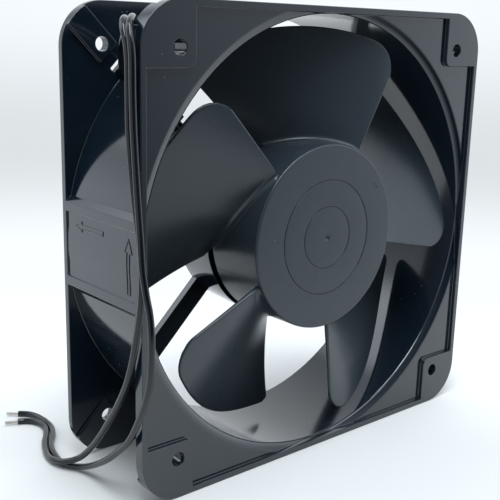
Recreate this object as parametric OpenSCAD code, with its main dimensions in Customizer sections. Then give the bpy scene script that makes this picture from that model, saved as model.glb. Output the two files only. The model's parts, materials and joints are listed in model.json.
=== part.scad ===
// Square axial cooling fan with a five-blade impeller, a shaded-pole motor and two free lead wires.
// Millimetres. The origin is the fan's centre at mid-depth, +Z is up and the air enters at -Y.

/* [Frame] */
// Width and height of the square frame
frame_size = 200; // [199:0.5:202]
// Depth of the frame from front face to rear face
frame_depth = 60; // [56:0.5:64]
// Radius of the frame's four outer corners
corner_r = 19; // [14:0.5:22]
// Distance between the screw holes, both ways
hole_pitch = 165; // [163:0.5:167]
// Diameter of the screw holes
hole_d = 6; // [4.5:0.1:7]
// Thickness of the front flange
front_flange_t = 5; // [4.5:0.1:5.5]
// Thickness of the rear flange
rear_flange_t = 3; // [2.6:0.1:3.2]
// Width of the raised rim round the front face
rim_w = 2.7; // [2.2:0.1:3]
// Depth of the sunk field inside the rim
field_drop = 2; // [1:0.1:2.4]
// Side of the raised square pad in each front corner
pad_size = 25; // [23:0.5:26]
// Radius of a pad's inner corner
pad_corner_r = 3.5; // [1:0.5:6]
// Width of the diagonal boss behind each screw hole
boss_w = 11; // [10:0.5:13]
// Height of the bosses on the rear flange
rear_boss_h = 2; // [1:0.1:3]
// Height of the bosses on the front flange
front_boss_h = 3; // [1:0.1:4]
// How far each boss reaches inward from its screw hole
boss_reach = 5; // [4:0.5:5.5]

/* [Air duct] */
// Inner radius of the duct
duct_r = 97; // [96:0.1:97.2]
// Wall thickness of the duct
duct_wall = 2.6; // [2.2:0.1:2.7]
// Outer radius of the bell mouth at the front field
mouth_r = 101.3; // [99:0.1:103]
// Axial depth of the bell mouth below the front field
mouth_depth = 2.5; // [1:0.1:2.8]
// Axial depth of the flare at the rear
flare_depth = 4.5; // [3:0.1:5]
// Width of the rim left beside the rear flare at mid-side
flare_rim = 1.8; // [1:0.1:3]
// Step in the duct wall at the mould's parting line
parting_step = 0.2; // [0.1:0.05:0.4]
// Distance of the parting line ahead of the rear face
parting_up = 11.2; // [10:0.2:16]

/* [Side panel] */
// Half height of the raised panel on the left side
panel_half = 18; // [14:0.5:22]
// Width of the panel's upper and lower border
panel_border = 4; // [2:0.5:6]
// Depth of the panel's sunk face
panel_drop = 0.7; // [0.3:0.1:1.2]
// Height taken by the panel's sloping sides
panel_slope = 4; // [2:0.5:6]

/* [Motor base] */
// Outer radius of the motor base at its front rim
base_front_r = 43; // [42.6:0.1:44]
// Outer radius of the motor base at its rear
base_rear_r = 41.5; // [41.2:0.1:42.4]
// Inner radius of the motor base
base_in_r = 39.6; // [39:0.1:40]
// Thickness of the motor base's floor
base_floor_t = 2.5; // [2.2:0.1:2.8]
// Height of the base's front rim above its floor
base_depth = 23.5; // [21.5:0.1:24.5]
// Radius of the base's rear edge
base_edge_r = 1.5; // [0.5:0.1:2]
// Radius of the shallow bare place for a label on the rear
label_r = 34; // [25:0.5:38]
// Depth of the label place
label_drop = 0.4; // [0.2:0.1:0.6]
// Outer radius of the boss that holds the bearing tube
tube_boss_r = 16.5; // [15.5:0.1:18]
// Height of that boss above the base's floor
tube_boss_h = 17.5; // [15.5:0.1:18.5]
// Width of the four struts
strut_w = 9.5; // [9:0.1:11]
// Thickness of the struts
strut_t = 4; // [3.8:0.1:4.8]
// Distance of the struts' rear face from the frame's rear face
strut_inset = 1.2; // [1.1:0.1:1.4]
// Width of the wire channel in the upper left strut
channel_w = 7; // [6.4:0.1:7.4]
// Thickness of the strut left under the wire channel
channel_floor_t = 1.3; // [1:0.1:1.5]
// Diagonal distance from the axis to the wire slot in the rear flange
slot_start = 103.5; // [102:0.5:105]
// Length of the wire slot along the diagonal
slot_len = 2.4; // [2:0.2:7]

/* [Impeller] */
// Radius of the impeller's hub
hub_r = 42; // [41.8:0.1:42.2]
// Wall thickness of the hub
hub_wall = 2.2; // [2:0.1:2.4]
// Thickness of the hub's front disc
hub_plate = 2.5; // [2:0.1:2.8]
// Distance of the hub's front disc behind the frame's front face
hub_inset = 1.2; // [0.6:0.1:2]
// Gap between the hub's open end and the rim of the motor base
hub_gap = 2.5; // [2.2:0.1:2.7]
// Radius of the hub's front edge
hub_edge_r = 1; // [0.4:0.1:1.6]
// Radius of the outer ring groove on the disc
groove_outer_r = 26.1; // [22:0.1:32]
// Radius of the inner ring groove on the disc
groove_inner_r = 14.1; // [8:0.1:18]
// Width of the ring grooves
groove_w = 0.6; // [0.3:0.1:1]
// Depth of the ring grooves
groove_drop = 0.4; // [0.2:0.1:0.8]
// Radius of the dimple in the middle of the disc
dimple_r = 1.4; // [0.8:0.1:2.5]
// Number of blades
blade_count = 5; // [4:1:5]
// Gap between the blade tips and the duct
tip_gap = 5; // [4:0.5:9]
// Blade thickness at the hub
blade_root_t = 2.2; // [1.8:0.1:2.6]
// Blade thickness at the tip
blade_tip_t = 1.6; // [1.2:0.1:2]
// Distance of the blades' front edge behind the frame's front face
blade_inset = 4.5; // [4:0.5:7]
// How far the rear edge reaches behind the hub near its root
blade_reach_root = 3.5; // [2:0.1:4]
// How far the rear edge reaches behind the hub at the tip
blade_reach_tip = 8.1; // [5.5:0.1:9.5]
// Angle by which the rear edge is cut back beside the hub, clear of the motor base's rim
blade_notch_angle = 6.4; // [6:0.1:8]
// Height of that cut above the hub
blade_notch_h = 3.5; // [3.2:0.1:5]
// Angle a blade covers at the hub
blade_root_angle = 57.7; // [50:0.1:60]
// Angle a blade covers at the tip
blade_tip_angle = 65.8; // [56:0.1:68]
// Radius of the blade's front tip corner
blade_front_corner_r = 15; // [8:0.5:18]
// Radius of the blade's rear tip corner
blade_rear_corner_r = 5; // [3:0.5:8]

/* [Rotor] */
// Wall thickness of the steel rotor can
can_wall = 1.2; // [1:0.1:1.4]
// Radius of the stator where it faces the rotor
stator_r = 33; // [32:0.1:34]
// Air gap between stator and rotor
air_gap = 0.4; // [0.35:0.05:0.6]
// Distance of the lamination stacks' front end behind the can's face
stack_front_inset = 8.1; // [8:0.1:10]
// Distance of the stacks' rear end ahead of the hub's open end
stack_rear_inset = 2.5; // [2.3:0.1:3]
// Number of bars in the rotor's squirrel cage
bar_count = 24; // [16:1:28]
// Radius of a squirrel-cage bar
bar_r = 1; // [0.7:0.1:1.1]
// Thickness of the squirrel cage's end rings
end_ring_t = 1.9; // [1.5:0.1:2]
// Shaft diameter
shaft_d = 8; // [7.6:0.1:8.2]
// Radius of the boss that joins the shaft to the can
shaft_boss_r = 7; // [6.5:0.1:8.5]
// Length of that boss behind the can's face
shaft_boss_len = 4.7; // [4.3:0.1:4.9]

/* [Bearings] */
// Outer diameter of the ball bearings
bearing_od = 22; // [21.8:0.1:22.2]
// Width of the ball bearings
bearing_w = 7; // [6.8:0.1:7]
// Ball diameter
ball_d = 3.96; // [3.8:0.02:4]
// Number of balls in each bearing
ball_count = 7; // [6:1:7]
// Clearance between a ball and its tracks
ball_clear = 0.07; // [0.04:0.01:0.1]
// Height of the rear bearing's centre above the base's floor
rear_bearing_lift = 12.5; // [12.1:0.1:13.5]
// Thickness of the spacer washers beside the bearings
washer_t = 0.9; // [0.7:0.1:1.1]
// Wall thickness of the bearing tube
tube_wall = 2; // [1.8:0.1:2.2]
// Height of the wave spring
spring_h = 2; // [1.6:0.1:2.4]

/* [Stator] */
// Width of the four stator teeth
tooth_w = 12; // [11:0.5:12.5]
// Radius of the stator's inner yoke
yoke_r = 19; // [18:0.1:19.2]
// Thickness of the pole shoes
shoe_t = 3; // [2.6:0.1:3.2]
// Half of the angle that a pole shoe covers
shoe_half_angle = 38; // [36:0.5:40]
// Thickness of the coils
coil_t = 4.5; // [3:0.1:4.6]
// Wall thickness of the coil bobbins
bobbin_t = 1; // [0.8:0.1:1.1]
// Thickness of the terminal board
board_t = 1.6; // [1:0.1:2]
// Outer radius of the terminal board
board_r = 30; // [29:0.5:33]

/* [Lead wires] */
// Diameter of the insulated lead wires
wire_d = 2.8; // [2.2:0.1:2.8]
// Distance between the two wires in the channel
wire_pitch = 3.2; // [3:0.1:3.4]
// Diameter of the bare wire ends
tip_d = 1.5; // [1:0.1:1.8]
// Length of the bare wire ends
tip_len = 6; // [4:0.5:8]

/* [Fits] */
// Clearance of the pressed and bonded joints
press_gap = 0.02; // [0.01:0.01:0.05]
// Clearance of the parts that are dropped in
slide_gap = 0.05; // [0.03:0.01:0.08]

/* [Hidden] */
$fn = 72;

// Cuts pass this far beyond the faces they open
over = 1;

// Heights along the axis, counted from mid-depth towards the front
half = frame_size / 2;
front_z = frame_depth / 2;
rear_z = -front_z;
field_z = front_z - field_drop;
front_inner_z = front_z - front_flange_t;
rear_inner_z = rear_z + rear_flange_t;
duct_out_r = duct_r + duct_wall;
mouth_z = field_z - mouth_depth;
flare_z = rear_z + flare_depth;
parting_z = rear_z + parting_up;
floor_z = rear_z + base_floor_t;
rim_z = floor_z + base_depth;
tube_boss_z = floor_z + tube_boss_h;
strut_rear_z = rear_z + strut_inset;
strut_front_z = strut_rear_z + strut_t;
channel_z = strut_rear_z + channel_floor_t;
strut_end = duct_out_r - 0.6;
foot_end = slot_start;
hole_diag = hole_pitch / sqrt(2);
boss_end = hole_diag - boss_reach;
wire_diagonal_angle = 135;

// The hub and what turns with it
hub_front_z = front_z - hub_inset;
hub_inner_z = hub_front_z - hub_plate;
hub_rear_z = rim_z + hub_gap;
can_out_r = hub_r - hub_wall - slide_gap;
can_in_r = can_out_r - can_wall;
can_inner_z = hub_inner_z - can_wall;
can_setback = 0.3;
can_rear_z = hub_rear_z + can_setback;
core_out_r = can_in_r - slide_gap;
core_in_r = stator_r + air_gap;
bar_circle_r = (core_out_r + core_in_r) / 2;
stack_rear = hub_rear_z + stack_rear_inset;
stack_front_z = can_inner_z - stack_front_inset;
stack_len = stack_front_z - stack_rear;
stack_mid_z = (stack_front_z + stack_rear) / 2;
end_ring_gap = 0.6;
end_ring_half = (core_out_r - core_in_r) / 2 - end_ring_gap;

// Blade outline on the hub
blade_root_r = hub_r - hub_wall / 2;
blade_tip_r = duct_r - tip_gap;
blade_front = front_z - blade_inset;
blade_back_root = blade_reach_root - hub_rear_z;
blade_back_tip = blade_reach_tip - hub_rear_z;
blade_front_angle = -11.3;

// Bearings, shaft and tube
shaft_r = shaft_d / 2;
bearing_r = bearing_od / 2;
tube_in_r = bearing_r + press_gap;
tube_out_r = tube_in_r + tube_wall;
tube_lip = 0.4;
boss_rear_z = can_inner_z - shaft_boss_len;
front_bearing_at = boss_rear_z - washer_t - bearing_w / 2;
tube_front_z = front_bearing_at + bearing_w / 2 + tube_lip;
rib_in_r = bearing_r - 1.4;
rib_front_z = front_bearing_at - bearing_w / 2;
rear_bearing_at = floor_z + rear_bearing_lift;
rib_rear_z = rear_bearing_at + bearing_w / 2 + spring_h;
ball_r = ball_d / 2;
pitch_r = (bearing_r + shaft_r) / 2;
track_r = ball_r + ball_clear;
race_t = 1.9;
inner_race_r = shaft_r + race_t;
outer_race_r = bearing_r - race_t;
shield_t = 0.3;
shield_in_r = inner_race_r + 0.4;
cage_half_t = 0.8;
cage_half_h = 2.5;
washer_r = inner_race_r - 0.3;
front_washer_z = front_bearing_at + bearing_w / 2;
rear_washer_z = rear_bearing_at - bearing_w / 2;
clip_t = 1;
clip_front_z = rear_washer_z - washer_t;
clip_groove_r = shaft_r - 0.6;
clip_out_r = shaft_r + 1.6;
clip_open = 60;
shaft_rear_z = clip_front_z - clip_t - 2;
access_r = 9;

// Stator
poles = 4;
shoe_in_r = stator_r - shoe_t;
bobbin_in_w = tooth_w + 2 * slide_gap;
bobbin_in_h = stack_len + 2 * slide_gap;
bobbin_out_w = bobbin_in_w + 2 * bobbin_t;
bobbin_out_h = bobbin_in_h + 2 * bobbin_t;
coil_in_w = bobbin_out_w + 2 * slide_gap;
coil_in_h = bobbin_out_h + 2 * slide_gap;
coil_out_w = coil_in_w + 2 * coil_t;
coil_out_h = coil_in_h + 2 * coil_t;
flange_w = coil_out_w + 0.6;
flange_h = coil_out_h + 0.6;
bobbin_start = yoke_r + 0.5;
bobbin_end = sqrt(pow(shoe_in_r, 2) - pow(flange_w / 2, 2)) - 0.3;
coil_corner_r = 4;
shade_from_angle = 20;
shade_slot_angle = 3.6;
shade_fit_angle = 0.3;
shade_inset = 0.15;
shade_t = 2;
shade_over = 1.5;
board_z = tube_boss_z;
pin_r = 0.6;
pin_circle_r = 25;
pin_spread_angle = 8;
pin_angles = [wire_diagonal_angle - pin_spread_angle, wire_diagonal_angle + pin_spread_angle];
pin_front_z = board_z + board_t + 1.4;
pin_rear_z = board_z - 4;

// Lead wires, in the channel of the upper left strut
wire_r = wire_d / 2;
wire_z = channel_z + wire_r + slide_gap;
grommet_in = base_in_r - 0.2;
grommet_out = base_front_r + 0.4;
grommet_top_z = wire_z + wire_r + 1.2;
wire_y = -wire_z;
side_x = -half;
ground_z = -half + wire_r;
edge_y = -front_inner_z;
tie_at = 67.2;
tie_w = 3;
tie_t = 1;
tie_side_gap = 0.9;

// A point on the wire strut in the row frame: distance along the diagonal, offset across it
function on_strut(along, off, y) = [(off - along) / sqrt(2), y, (off + along) / sqrt(2)];

// Route of the left wire: channel, rear corner, over the frame's edge, down the side, floor
left_route = concat(
    [for (a = [grommet_out, 62, 80, 94]) on_strut(a, -wire_pitch / 2, wire_y)],
    [on_strut(duct_out_r - 0.2, -wire_pitch / 2, wire_y - 0.6)],
    [[-74.4, 23.2, 72.8], [-77, 19, 77.4], [-80.8, 12.2, 83], [-85, 3.8, 87.4]],
    [[-89.6, edge_y + 20.6, 90.6], [-94.6, edge_y + 13.2, 92.2], [side_x + 0.8, edge_y + 7.2, 91.5]],
    [for (p = [[1.7, -21.8, 88.4], [2.3, -24.6, 83.5], [2.3, -25.6, 77.6], [2.2, -25.5, 66],
        [2.2, -25.6, 54], [2.2, -26.9, 41], [2.2, -29.1, 27], [2.2, -31.8, 14.5], [2.2, -33.4, 3],
        [2.2, -33.2, -9.5], [2.2, -30.4, -23], [2.2, -26.9, -35.5], [2.2, -22.6, -46.5],
        [2.2, -16.4, -57], [2.2, -9.4, -66.8], [2.2, -1.2, -77.2], [2.4, 6.6, -86],
        [3.6, 12.2, -91.6], [5.7, 16.6, -94.6], [8.2, 20.8, -96.2], [9.5, 26.2, -97.3], [9.2, 31.8, -98.2]])
        [side_x - p[0], p[1], p[2]]],
    [for (p = [[7.5, 38], [3.9, 46.3], [-0.9, 54], [-3.9, 60.6], [-4.2, 66.6], [-2.2, 71.2],
        [0.6, 73.8], [3.4, 75]])
        [side_x - p[0], p[1], ground_z]]);

// Route of the right wire, beside the left one
right_route = concat(
    [for (a = [grommet_out, 62, 80, 94]) on_strut(a, wire_pitch / 2, wire_y)],
    [on_strut(duct_out_r - 0.2, wire_pitch / 2, wire_y - 0.6)],
    [[-72, 23.4, 75], [-74.4, 18.9, 79.4], [-78, 11.4, 84.6], [-82.2, 2.6, 88.8]],
    [[-87, edge_y + 19.2, 91.6], [-92.2, edge_y + 11.6, 92.8], [side_x + 2.9, edge_y + 5.2, 92.3]],
    [for (p = [[1.3, -25, 89.7], [2.7, -28.2, 84], [2.9, -29.2, 78], [2.9, -29.3, 66],
        [3, -29.9, 54], [3.2, -31.3, 41], [3.6, -33.4, 27], [4.1, -35.7, 14], [4.2, -37, 3],
        [3.4, -38.2, -7], [2.9, -40, -15], [2.9, -40.9, -25], [2.9, -40, -39.3],
        [2.9, -36.6, -49.8], [2.9, -31.6, -59.6], [2.9, -24.4, -70.5], [2.9, -16, -78.5],
        [2.9, -7.6, -85.4], [2.6, 1.4, -91.2], [2.7, 9.6, -95.6], [3.7, 14.8, -97.6], [5.2, 19, -98.4]])
        [side_x - p[0], p[1], p[2]]],
    [for (p = [[6.4, 23], [6.6, 28], [4.8, 36.4], [1.5, 44.5], [-3.4, 52.1],
        [-6.5, 59.4], [-7.4, 66.9], [-6.8, 74.7], [-4.7, 79.8], [-1, 83.2]])
        [side_x - p[0], p[1], ground_z]]);

// Vector helpers
function unit(v) = v / norm(v);
function last(v) = v[len(v) - 1];
function heading(path, i) =
    unit(path[min(i + 1, len(path) - 1)] - path[max(i - 1, 0)]);

// A side direction carried along the path, so that the swept tube does not twist
function sides(path, i = 0, prev = [1, 0, 0.3]) =
    let (t = heading(path, i), s = unit(prev - (prev * t) * t))
    i == len(path) - 1 ? [s] : concat([s], sides(path, i + 1, s));

// Rings of a round tube along a path
function tube_rings(path, r, n) =
    let (side = sides(path))
    [for (i = [0 : len(path) - 1])
        let (t = heading(path, i), b = cross(t, side[i]))
        [for (k = [0 : n - 1])
            path[i] + r * (cos(360 * k / n) * side[i] + sin(360 * k / n) * b)]];

// A closed skin over rings of equal length; thin rings are capped with a zigzag strip
module skin(rings) {
    n = len(rings[0]);
    m = len(rings);
    points = [for (ring = rings) for (p = ring) p];
    walls = [for (j = [0 : m - 2]) for (k = [0 : n - 1])
        let (a = j * n + k, b = j * n + (k + 1) % n)
        each [[a, a + n, b], [b, a + n, b + n]]];
    start_cap = [for (k = [0 : n / 2 - 2]) each [[k, k + 1, n - 1 - k], [k + 1, n - 2 - k, n - 1 - k]]];
    end_cap = [for (f = start_cap) [for (i = [2, 1, 0]) f[i] + (m - 1) * n]];
    polyhedron(points = points, faces = concat(start_cap, walls, end_cap));
}

// Stand a piece that was drawn lying on its back, front up, on its frame edge
module stand() {
    rotate([90, 0, 0])
        children();
}

// A ring or tube about the axis between two heights
module ring(r_in, r_out, z0, z1) {
    translate([0, 0, z0])
        difference() {
            cylinder(h = z1 - z0, r = r_out);
            translate([0, 0, -over])
                cylinder(h = z1 - z0 + 2 * over, r = r_in);
        }
}

// A square with rounded corners
module rounded_square(w, h, r) {
    square([w - 2 * r, h], center = true);
    square([w, h - 2 * r], center = true);
    for (x = [-1, 1], y = [-1, 1])
        translate([x * (w / 2 - r), y * (h / 2 - r)])
            circle(r = r);
}

// A box along a diagonal between two radii and two heights
module diagonal_box(angle, r0, r1, w, z0, z1) {
    rotate([0, 0, angle])
        translate([r0, -w / 2, z0])
            cube([r1 - r0, w, z1 - z0]);
}

module slab(z0, z1, w, r) {
    translate([0, 0, z0])
        linear_extrude(height = z1 - z0)
            rounded_square(w, w, r);
}

// Raised corner pads of the front flange
module corner_pads(z0, z1) {
    at = half - pad_size / 2;
    for (x = [-1, 1], y = [-1, 1])
        translate([x * at, y * at, z0])
            linear_extrude(height = z1 - z0)
                rounded_square(pad_size, pad_size, pad_corner_r);
}

// Diagonal bosses behind the screw holes, trimmed to the frame's outline
module corner_bosses(z0, z1) {
    intersection() {
        slab(z0, z1, frame_size, corner_r);
        union()
            for (a = [45 : 90 : 315])
                diagonal_box(a, boss_end, frame_size, boss_w, z0 - over, z1 + over);
    }
}

module front_field() {
    inner = frame_size - 2 * rim_w;
    difference() {
        slab(field_z, front_z + over, inner, corner_r - rim_w);
        corner_pads(field_z - over, front_z + 2 * over);
    }
    lip = [for (t = [0 : 15 : 90])
        [mouth_r - (mouth_r - duct_r) * cos(t), mouth_z + mouth_depth * sin(t)]];
    intersection() {
        rotate_extrude()
            polygon(concat([[0, mouth_z]], lip, [[0, field_z]]));
        translate([0, 0, mouth_z - over])
            linear_extrude(height = mouth_depth + 2 * over)
                square(inner, center = true);
    }
}

module rear_flare() {
    rear_r = duct_r + parting_step;
    intersection() {
        translate([0, 0, rear_z])
            cylinder(h = flare_depth, r1 = rear_r + flare_depth, r2 = rear_r);
        translate([0, 0, rear_z - over])
            linear_extrude(height = flare_depth + 2 * over)
                square(frame_size - 2 * flare_rim, center = true);
    }
}

// Raised panel on the left side, with sloping upper and lower sides
module side_panel() {
    foot = panel_half + panel_slope;
    foot_x = -sqrt(pow(duct_r + duct_wall / 2, 2) - pow(foot, 2));
    translate([0, 0, rear_inner_z])
        linear_extrude(height = front_inner_z - rear_inner_z)
            difference() {
                polygon([[side_x, -panel_half], [side_x, panel_half], [foot_x, foot], [foot_x, -foot]]);
                translate([side_x - over, panel_border - panel_half])
                    square([panel_drop + over, 2 * (panel_half - panel_border)]);
            }
}

// Motor base: a cup that is open to the front
module base_cup() {
    difference() {
        rotate_extrude()
            polygon(concat([[0, rear_z]],
                [for (a = [-90 : 22.5 : 0])
                    [base_rear_r - base_edge_r + base_edge_r * cos(a),
                        rear_z + base_edge_r + base_edge_r * sin(a)]],
                [[base_front_r, rim_z], [0, rim_z]]));
        translate([0, 0, floor_z])
            cylinder(h = frame_depth, r = base_in_r);
        translate([0, 0, rear_z - over])
            cylinder(h = label_drop + over, r = label_r);
        translate([0, 0, rear_z - over])
            cylinder(h = base_floor_t + 2 * over, r = access_r);
    }
    ring(tube_out_r + press_gap, tube_boss_r, floor_z - label_drop, tube_boss_z);
}

module struts() {
    for (a = [45 : 90 : 315]) {
        diagonal_box(a, (base_in_r + base_rear_r) / 2, strut_end, strut_w, strut_rear_z, strut_front_z);
        diagonal_box(a, duct_r, foot_end, strut_w, strut_rear_z, rear_inner_z);
    }
}

module frame_body() {
    difference() {
        union() {
            slab(front_inner_z, front_z, frame_size, corner_r);
            slab(rear_z, rear_inner_z, frame_size, corner_r);
            corner_bosses(front_inner_z - front_boss_h, front_inner_z);
            corner_bosses(rear_inner_z, rear_inner_z + rear_boss_h);
            translate([0, 0, rear_inner_z])
                cylinder(h = front_inner_z - rear_inner_z, r = duct_out_r);
            side_panel();
        }
        translate([0, 0, parting_z])
            cylinder(h = frame_depth, r = duct_r);
        translate([0, 0, rear_z - over])
            cylinder(h = parting_up + over, r = duct_r + parting_step);
        front_field();
        rear_flare();
        for (x = [-1, 1], y = [-1, 1])
            translate([x * hole_pitch / 2, y * hole_pitch / 2, rear_z - over])
                cylinder(h = frame_depth + 2 * over, d = hole_d);
    }
}

module frame() {
    color([0.05, 0.05, 0.055])
        stand()
            difference() {
                union() {
                    frame_body();
                    base_cup();
                    struts();
                }
                diagonal_box(wire_diagonal_angle, base_in_r - over, slot_start, channel_w,
                    channel_z, grommet_top_z);
                diagonal_box(wire_diagonal_angle, slot_start, slot_start + slot_len, channel_w,
                    rear_z - over, grommet_top_z);
            }
}

// Strap round the wire strut; it lies on the strut's rear face and keeps the wires in the channel
module wire_clip() {
    out_w = strut_w + 2 * (tie_side_gap + tie_t);
    in_w = strut_w + 2 * tie_side_gap;
    top_z = strut_front_z + 0.4;
    color([0.06, 0.06, 0.06])
        stand()
            difference() {
                diagonal_box(wire_diagonal_angle, tie_at - tie_w / 2, tie_at + tie_w / 2, out_w,
                    strut_rear_z - tie_t, top_z + tie_t);
                diagonal_box(wire_diagonal_angle, tie_at - tie_w, tie_at + tie_w, in_w,
                    strut_rear_z, top_z);
            }
}

// Rubber block in the base's wall where the wires come out
module wire_grommet() {
    color([0.08, 0.08, 0.08])
        stand()
            diagonal_box(wire_diagonal_angle, grommet_in, grommet_out, channel_w - 2 * slide_gap,
                channel_z, grommet_top_z - slide_gap);
}

// Plug that closes the shaft's access hole in the rear
module bearing_cap() {
    color([0.1, 0.1, 0.1])
        stand()
            translate([0, 0, rear_z + label_drop])
                cylinder(h = base_floor_t - label_drop, r = access_r - slide_gap);
}

// Steel tube that carries the stator and both bearings, with a rib between the bearing seats
module bearing_tube() {
    color([0.6, 0.6, 0.62])
        stand() {
            difference() {
                translate([0, 0, floor_z])
                    cylinder(h = tube_front_z - floor_z, r = tube_out_r);
                translate([0, 0, floor_z - over])
                    cylinder(h = rib_rear_z - floor_z + over, r = tube_in_r);
                translate([0, 0, rib_rear_z - over])
                    cylinder(h = rib_front_z - rib_rear_z + 2 * over, r = rib_in_r);
                translate([0, 0, rib_front_z])
                    cylinder(h = frame_depth, r = tube_in_r);
            }
        }
}

// Wave washer that preloads the rear bearing
module wave_spring() {
    r0 = rib_in_r + 0.2;
    r1 = bearing_r - 0.3;
    steps = 48;
    waves = 3;
    strip = 0.3;
    swing = (spring_h - strip) / 2;
    mid = (rib_rear_z + rear_bearing_at + bearing_w / 2) / 2;
    rings = [for (i = [0 : steps - 1])
        let (a = 360 * i / steps, z = mid + swing * cos(waves * a))
        [for (q = [[r0, -1], [r1, -1], [r1, 1], [r0, 1]])
            [q[0] * cos(a), q[0] * sin(a), z + q[1] * strip / 2]]];
    faces = [for (j = [0 : steps - 1]) for (k = [0 : 3])
        let (a = j * 4 + k, b = j * 4 + (k + 1) % 4, c = ((j + 1) % steps) * 4)
        each [[a, b, c + k], [b, c + (k + 1) % 4, c + k]]];
    color([0.7, 0.7, 0.72])
        stand()
            polyhedron(points = [for (r = rings) for (p = r) p], faces = faces);
}

// One bearing race, with the ball track cut into it
module race(r_in, r_out) {
    rotate_extrude()
        difference() {
            translate([r_in, -bearing_w / 2])
                square([r_out - r_in, bearing_w]);
            translate([pitch_r, 0])
                circle(r = track_r);
        }
}

module outer_ring(at) {
    color([0.75, 0.75, 0.77])
        stand()
            translate([0, 0, at])
                race(outer_race_r, bearing_r);
}

module inner_ring(at) {
    color([0.75, 0.75, 0.77])
        stand()
            translate([0, 0, at])
                race(shaft_r + press_gap, inner_race_r);
}

module shields(at) {
    reach = bearing_w / 2;
    color([0.55, 0.55, 0.57])
        stand() {
            ring(shield_in_r, outer_race_r, at - reach, at - reach + shield_t);
            ring(shield_in_r, outer_race_r, at + reach - shield_t, at + reach);
        }
}

module balls(at) {
    color([0.85, 0.85, 0.87])
        stand()
            for (i = [0 : ball_count - 1])
                rotate([0, 0, 360 * i / ball_count])
                    translate([pitch_r, 0, at])
                        sphere(r = ball_r);
}

module ball_cage(at) {
    color([0.7, 0.6, 0.35])
        stand()
            difference() {
                ring(pitch_r - cage_half_t, pitch_r + cage_half_t, at - cage_half_h, at + cage_half_h);
                for (i = [0 : ball_count - 1])
                    rotate([0, 0, 360 * i / ball_count])
                        translate([pitch_r - 2 * cage_half_t, 0, at])
                            rotate([0, 90, 0])
                                cylinder(h = 4 * cage_half_t, r = track_r);
            }
}

// Sector of a ring, from one angle over a sweep
module sector(r_in, r_out, z0, z1, from, sweep) {
    translate([0, 0, z0])
        rotate([0, 0, from])
            rotate_extrude(angle = sweep)
                translate([r_in, 0])
                    square([r_out - r_in, z1 - z0]);
}

// Flat sector of a ring, from one angle over a sweep below 90 degrees
module flat_sector(r_in, r_out, from, sweep) {
    reach = 2 * r_out;
    intersection() {
        difference() {
            circle(r = r_out);
            circle(r = r_in);
        }
        polygon([[0, 0], reach * [cos(from), sin(from)], reach * [cos(from + sweep), sin(from + sweep)]]);
    }
}

module stator_sheet() {
    slot_r = stator_r - shade_t - 2 * shade_inset;
    difference() {
        union() {
            circle(r = yoke_r);
            for (a = [0 : 360 / poles : 359]) {
                rotate(a)
                    translate([0, -tooth_w / 2])
                        square([shoe_in_r + shoe_t / 3, tooth_w]);
                flat_sector(shoe_in_r, stator_r, a - shoe_half_angle, 2 * shoe_half_angle);
            }
        }
        circle(r = tube_out_r + press_gap);
        for (a = [0 : 360 / poles : 359])
            flat_sector(slot_r, stator_r + over, a + shade_from_angle, shade_slot_angle);
    }
}

module stator_core() {
    color([0.45, 0.45, 0.47])
        stand()
            translate([0, 0, stack_rear])
                linear_extrude(height = stack_len)
                    stator_sheet();
}

// One bobbin stands on each tooth
module coil_bobbins() {
    color([0.92, 0.92, 0.88])
        stand()
            for (a = [0 : 360 / poles : 359])
                rotate([0, 0, a])
                    translate([0, 0, stack_mid_z])
                        rotate([90, 0, 90])
                            difference() {
                                union() {
                                    translate([-bobbin_out_w / 2, -bobbin_out_h / 2, bobbin_start])
                                        cube([bobbin_out_w, bobbin_out_h, bobbin_end - bobbin_start]);
                                    for (x = [bobbin_start, bobbin_end - bobbin_t])
                                        translate([-flange_w / 2, -flange_h / 2, x])
                                            cube([flange_w, flange_h, bobbin_t]);
                                }
                                translate([-bobbin_in_w / 2, -bobbin_in_h / 2, 0])
                                    cube([bobbin_in_w, bobbin_in_h, frame_size]);
                            }
}

module stator_coils() {
    x0 = bobbin_start + bobbin_t;
    x1 = bobbin_end - bobbin_t;
    color([0.7, 0.36, 0.16])
        stand()
            for (a = [0 : 360 / poles : 359])
                rotate([0, 0, a])
                    translate([0, 0, stack_mid_z])
                        rotate([90, 0, 90])
                            translate([0, 0, x0])
                                linear_extrude(height = x1 - x0)
                                    difference() {
                                        rounded_square(coil_out_w, coil_out_h, coil_corner_r);
                                        square([coil_in_w, coil_in_h], center = true);
                                    }
}

// Copper loop round one edge of each pole shoe
module shading_rings() {
    r0 = stator_r - shade_t - shade_inset;
    r1 = stator_r - shade_inset;
    wall = shade_slot_angle - 2 * shade_fit_angle;
    from = shade_from_angle + shade_fit_angle;
    sweep = shoe_half_angle - from + shade_fit_angle + wall;
    color([0.75, 0.42, 0.22])
        stand()
            for (a = [0 : 360 / poles : 359])
                difference() {
                    sector(r0, r1, stack_rear - shade_over, stack_front_z + shade_over, a + from, sweep);
                    sector(r0 - over, r1 + over, stack_rear - press_gap, stack_front_z + press_gap,
                        a + from + wall, sweep - 2 * wall);
                }
}

module terminal_board() {
    color([0.16, 0.36, 0.2])
        stand()
            difference() {
                ring(tube_out_r + slide_gap, board_r, board_z, board_z + board_t);
                for (a = pin_angles)
                    rotate([0, 0, a])
                        translate([pin_circle_r, 0, board_z - over])
                            cylinder(h = board_t + 2 * over, r = pin_r + press_gap);
            }
}

module terminal_pins() {
    color([0.8, 0.65, 0.3])
        stand()
            for (a = pin_angles)
                rotate([0, 0, a])
                    translate([pin_circle_r, 0, pin_rear_z])
                        cylinder(h = pin_front_z - pin_rear_z, r = pin_r);
}

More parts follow.
